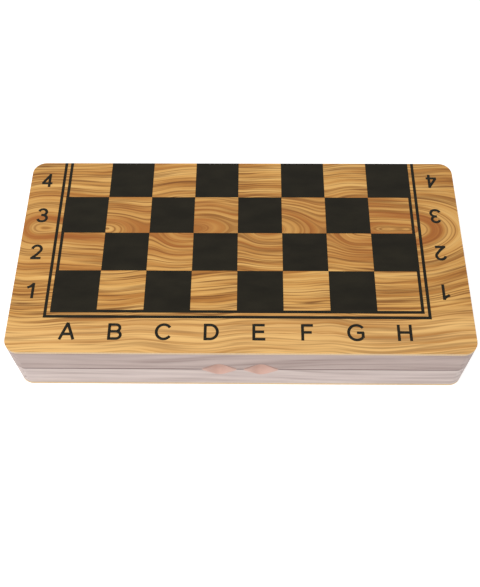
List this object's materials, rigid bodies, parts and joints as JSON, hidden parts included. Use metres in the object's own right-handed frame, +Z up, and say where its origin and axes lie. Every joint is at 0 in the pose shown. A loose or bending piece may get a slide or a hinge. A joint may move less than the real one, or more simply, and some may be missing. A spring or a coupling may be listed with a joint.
{
  "type": "chess and backgammon set",
  "caption": "Folding wooden game case of two hinged trays: chessboard squares outside, backgammon points inside, game pieces packed in the lower tray.",
  "frame": {"origin": "centre of the closed case's flat base", "axes": "+X along the long side, +Y towards the hinges, +Z up"},
  "size_m": [0.396, 0.2022, 0.064],
  "materials": {
    "chess_print": "printed foil, satin gloss",
    "backgammon_print": "printed foil, satin gloss",
    "panel_board": "raw fibreboard edge",
    "rail_wood": "sanded poplar under thin clear lacquer",
    "hinge_brass": "brass plated",
    "screw_steel": "brass plated",
    "magnet_metal": "nickel plated",
    "light_men": "clear lacquer",
    "dark_men": "dark brown lacquer",
    "dice_ivory": "gloss"
  },
  "bodies": {
    "lower_tray": {"dark_bishops": "dark_men", "dark_draughts": "dark_men", "dark_king": "dark_men", "dark_knights": "dark_men", "dark_pawns": "dark_men", "dark_queen": "dark_men", "dark_rooks": "dark_men", "dice": "dice_ivory", "hinge_pin_left": "hinge_brass", "hinge_pin_right": "hinge_brass", "light_bishops": "light_men", "light_draughts": "light_men", "light_king": "light_men", "light_knights": "light_men", "light_pawns": "light_men", "light_queen": "light_men", "light_rooks": "light_men", "lower_back_rail": "rail_wood", "lower_front_rail": "rail_wood", "lower_hinge_leaf_left": "hinge_brass", "lower_hinge_leaf_right": "hinge_brass", "lower_hinge_screws": "screw_steel", "lower_inner_print": "backgammon_print", "lower_left_rail": "rail_wood", "lower_magnets": "magnet_metal", "lower_outer_print": "chess_print", "lower_panel": "panel_board", "lower_right_rail": "rail_wood"},
    "upper_tray": {"upper_back_rail": "rail_wood", "upper_front_rail": "rail_wood", "upper_hinge_leaf_left": "hinge_brass", "upper_hinge_leaf_right": "hinge_brass", "upper_hinge_screws": "screw_steel", "upper_inner_print": "backgammon_print", "upper_left_rail": "rail_wood", "upper_magnets": "magnet_metal", "upper_outer_print": "chess_print", "upper_panel": "panel_board", "upper_right_rail": "rail_wood"}
  },
  "joints": [
    {"name": "lid_hinge", "type": "hinge", "parent": "lower_tray", "child": "upper_tray", "pos_m": [0, 0.10025, 0.032], "axis": [-1, 0, 0], "range_deg": [0, 180]}
  ]
}
